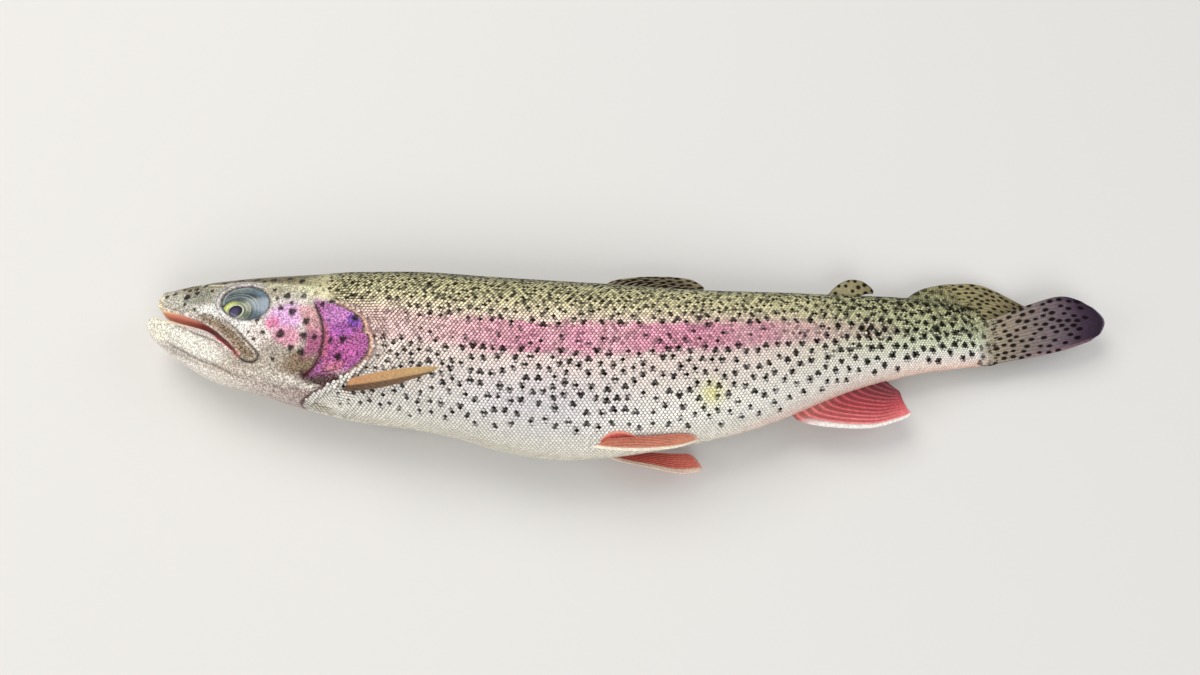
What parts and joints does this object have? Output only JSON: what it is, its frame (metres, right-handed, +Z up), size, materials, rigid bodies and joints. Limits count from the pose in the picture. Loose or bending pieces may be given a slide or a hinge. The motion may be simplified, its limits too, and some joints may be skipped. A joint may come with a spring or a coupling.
{
  "type": "rainbow trout",
  "caption": "Life-size rainbow trout lying on its right flank, still, with parted head, jaws, gill covers, trunk, tail and fins.",
  "frame": {"origin": "a point in the middle of the flat on which the right flank rests", "axes": "+X towards the tail, the longest extent; +Y towards the back; +Z up, out of the left flank"},
  "size_m": [0.3571, 0.0746, 0.0497],
  "materials": {
    "skin": "wet, finely scaled, olive back to silver belly with a pink stripe and dark spots",
    "gill_cover": "wet and smooth, rose to violet with dark spots",
    "mouth": "wet pink lining",
    "eye": "polished, yellow iris ring and blue-grey white",
    "fin_dark": "ribbed, spotted in rows along the rays",
    "fin_red": "ribbed, maroon with a white leading edge",
    "fin_gold": "ribbed, tan leading edge and grey membrane"
  },
  "bodies": {
    "root": {"head": "skin", "lower_jaw": "skin", "tongue": "mouth", "maxilla_left": "skin", "maxilla_right": "skin", "gill_cover_left": "gill_cover", "gill_cover_right": "gill_cover", "eye_left": "eye", "eye_right": "eye", "trunk_front": "skin", "trunk_rear": "skin", "tail_stalk": "skin", "dorsal_fin": "fin_dark", "adipose_fin": "fin_dark", "caudal_fin_upper": "fin_dark", "caudal_fin_lower": "fin_dark", "anal_fin": "fin_red", "pelvic_fin_left": "fin_red", "pelvic_fin_right": "fin_red", "pectoral_fin_left": "fin_gold", "pectoral_fin_right": "fin_gold"}
  },
  "joints": []
}
